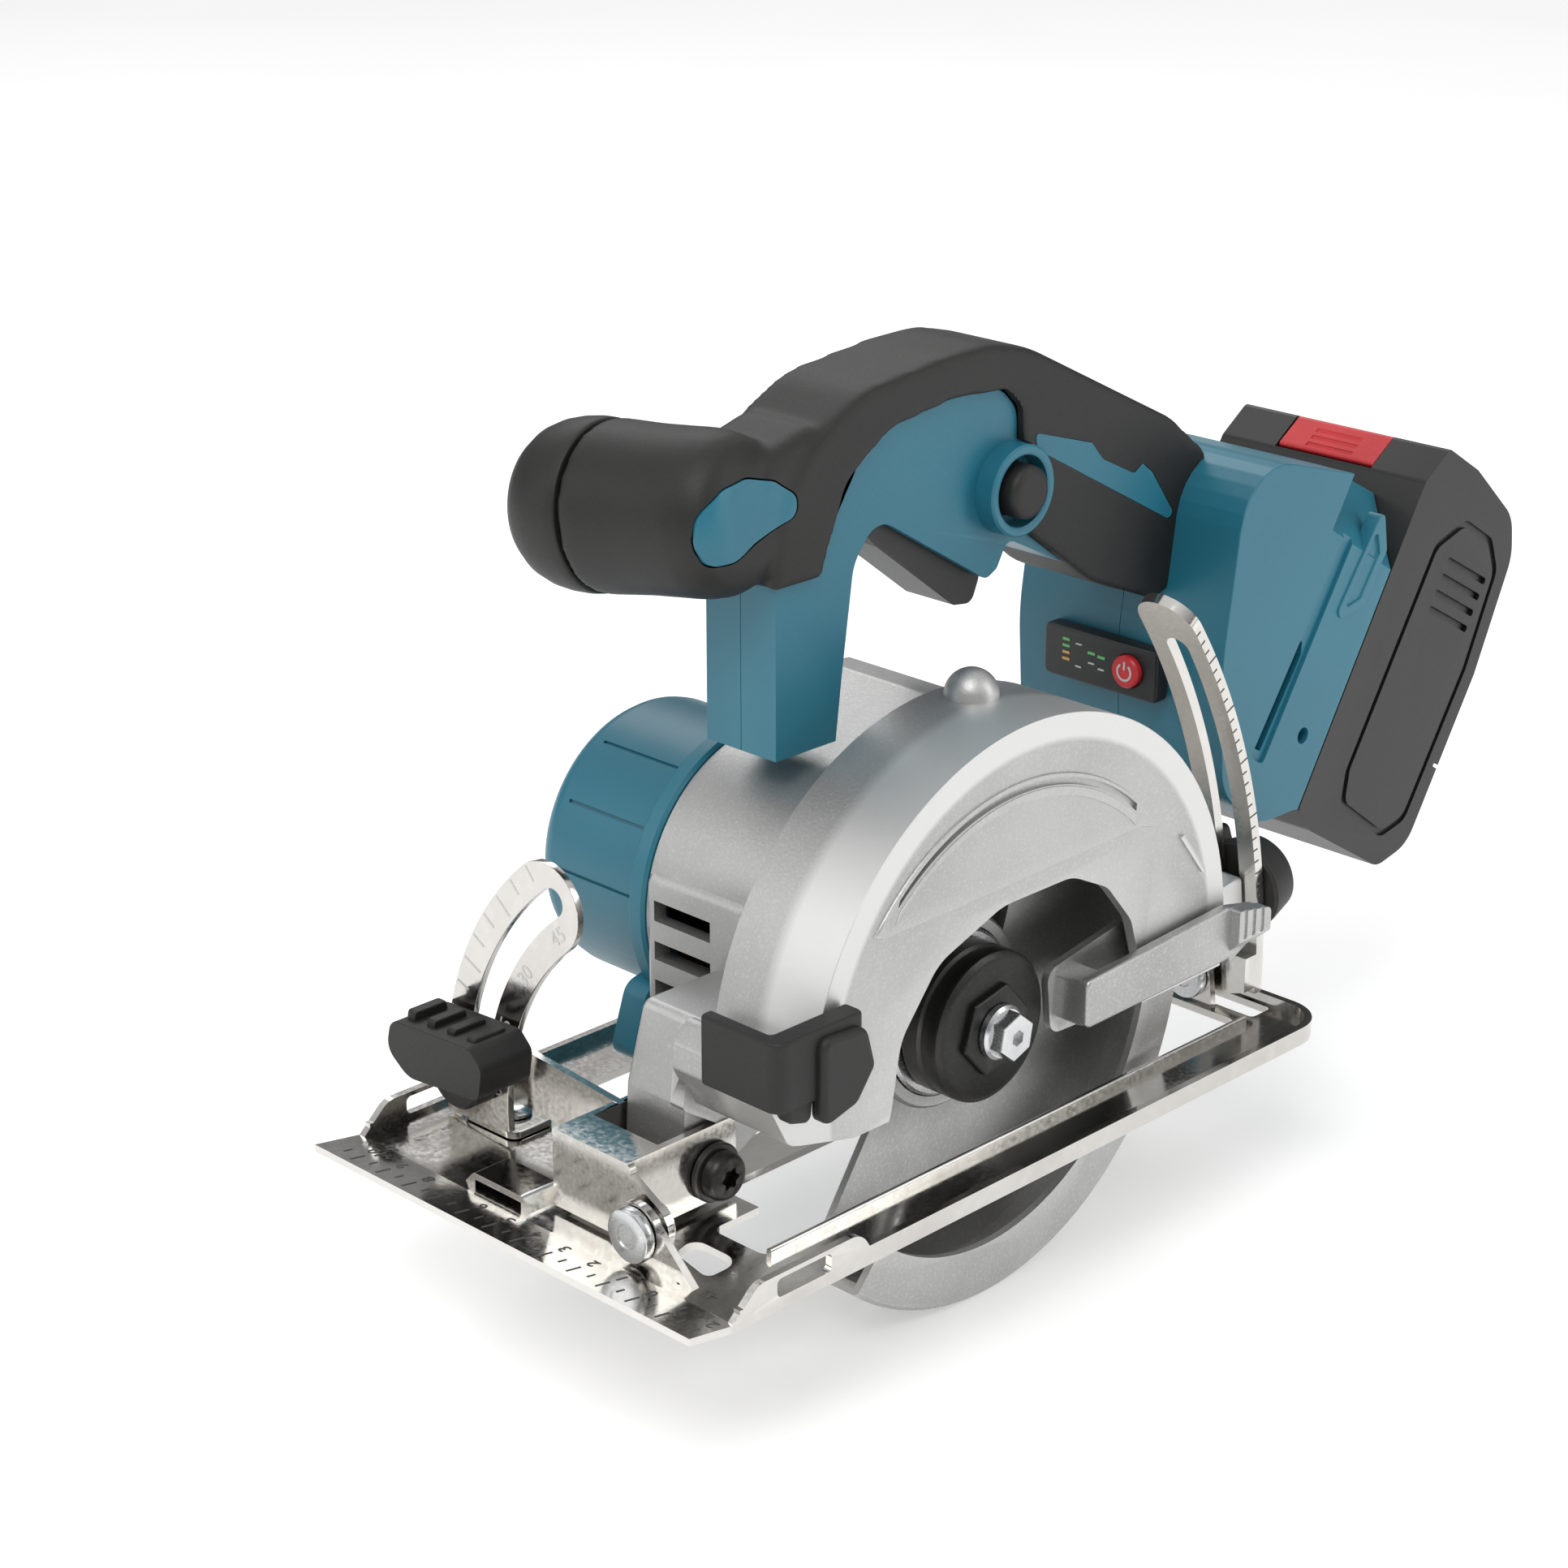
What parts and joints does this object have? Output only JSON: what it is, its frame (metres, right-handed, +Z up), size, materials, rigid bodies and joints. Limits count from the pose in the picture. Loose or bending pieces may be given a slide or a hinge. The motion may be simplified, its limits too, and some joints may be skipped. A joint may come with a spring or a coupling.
{
  "type": "cordless circular saw",
  "caption": "Compact cordless circular saw with a cast guard, open loop handle, side-mounted motor, slide-on battery and a tilting plated sole.",
  "frame": {"origin": "underside of the sole, on the strip between the blade slot and the motor opening", "axes": "+X rearwards towards the battery, +Y towards the motor side, +Z up from the work; the saw cuts towards -X"},
  "size_m": [0.3726, 0.153, 0.2344],
  "materials": {
    "plated_steel": "bright nickel plate on pressed sheet",
    "steel": "turned",
    "black_steel": "black oxide",
    "cast_aluminium": "die cast, fine bead blasted grain",
    "teal_plastic": "satin moulded",
    "grip_rubber": "smooth soft-touch overmould",
    "black_plastic": "fine moulded texture",
    "red_plastic": "satin moulded",
    "motor_windings": "steel laminations and enamelled copper",
    "battery_cells": "wrapped steel cells",
    "circuit_board": "solder mask"
  },
  "bodies": {
    "base": {"base_plate": "plated_steel", "bevel_scale_plate": "plated_steel", "bevel_scale_rivet": "steel", "front_bevel_rivet": "steel", "rear_bevel_rivet": "steel"},
    "bevel_frame": {"front_bracket": "plated_steel", "bevel_clamp_screw": "black_steel", "depth_guide": "plated_steel", "depth_pivot_screw": "black_steel", "depth_pivot_washer": "steel", "depth_pivot_nut": "steel"},
    "bevel_clamp_lever": {"bevel_lever": "black_plastic"},
    "saw": {"gear_housing": "cast_aluminium", "guard_hub_ring": "steel", "chip_deflector": "grip_rubber", "depth_clamp_screw": "black_steel", "motor_housing": "teal_plastic", "motor_housing_screw": "black_steel", "stator": "motor_windings", "spindle_bearing": "steel", "rotor_bearing": "steel", "handle_left": "teal_plastic", "handle_right": "teal_plastic", "grip_overmould": "grip_rubber", "front_grip_cap": "grip_rubber", "front_grip_insert": "teal_plastic", "rear_grip_insert": "teal_plastic", "trigger_switch": "black_plastic", "control_board": "circuit_board", "display_panel": "black_plastic"},
    "trigger": {"trigger": "black_plastic"},
    "lock_off": {"lock_off_button": "black_plastic"},
    "power_key": {"power_button": "red_plastic"},
    "depth_clamp_lever": {"depth_lever": "black_plastic"},
    "moving_guard": {"lower_guard": "cast_aluminium"},
    "spindle": {"spindle": "steel", "inner_flange": "black_steel", "outer_flange": "black_steel", "arbor_bolt": "steel", "spindle_gear": "steel"},
    "rotor": {"rotor": "steel", "pinion": "steel", "fan": "black_plastic"},
    "battery": {"battery_case": "black_plastic", "battery_cells": "battery_cells"},
    "battery_button": {"battery_release_button": "red_plastic"}
  },
  "joints": [
    {"name": "bevel_tilt", "type": "hinge", "parent": "base", "child": "bevel_frame", "pos_m": [0, -0.018, 0.01], "axis": [1, 0, 0], "range_deg": [0, 45]},
    {"name": "bevel_lever_turn", "type": "hinge", "parent": "bevel_frame", "child": "bevel_clamp_lever", "pos_m": [-0.09, 0.0614, 0.01975], "axis": [1, 0, 0], "range_deg": [0, 28]},
    {"name": "depth_swing", "type": "hinge", "parent": "bevel_frame", "child": "saw", "pos_m": [-0.068, 0, 0.012], "axis": [0, -1, 0], "range_deg": [-3, 22]},
    {"name": "trigger_pull", "type": "hinge", "parent": "saw", "child": "trigger", "pos_m": [0.0115, 0.019, 0.156], "axis": [0, -1, 0], "range_deg": [0, 7], "stiffness_Nm_per_rad": 1, "springref_deg": -14.32},
    {"name": "lock_off_push", "type": "slide", "parent": "saw", "child": "lock_off", "axis": [0, 1, 0], "range_m": [0, 0.004], "stiffness_N_per_m": 600, "springref_m": -0.003},
    {"name": "power_key_press", "type": "slide", "parent": "saw", "child": "power_key", "axis": [1, 0, 0], "range_m": [0, 0.001], "stiffness_N_per_m": 1200, "springref_m": -0.001},
    {"name": "depth_lever_turn", "type": "hinge", "parent": "saw", "child": "depth_clamp_lever", "pos_m": [0.1238, -0.025, 0.0355], "axis": [0.9925, 0, 0.1219], "range_deg": [0, 28]},
    {"name": "guard_swing", "type": "hinge", "parent": "saw", "child": "moving_guard", "pos_m": [0.006, 0, 0.033], "axis": [0, -1, 0], "range_deg": [0, 95], "stiffness_Nm_per_rad": 0.12, "springref_deg": -114.59},
    {"name": "spindle_spin", "type": "hinge", "parent": "saw", "child": "spindle", "pos_m": [0.006, 0, 0.033], "axis": [0, 1, 0], "continuous": true},
    {"name": "rotor_spin", "type": "hinge", "parent": "saw", "child": "rotor", "pos_m": [-0.003, 0, 0.0565], "axis": [0, 1, 0], "continuous": true},
    {"name": "battery_slide", "type": "slide", "parent": "saw", "child": "battery", "axis": [0.5225, 0, 0.8526], "range_m": [0, 0.09]},
    {"name": "battery_button_press", "type": "slide", "parent": "battery", "child": "battery_button", "axis": [0.8526, 0, -0.5225], "range_m": [0, 0.0025], "stiffness_N_per_m": 1000, "springref_m": -0.003}
  ],
  "couplings": [
    {"joint": "rotor_spin", "follows": "spindle_spin", "ratio": -4.8571}
  ]
}
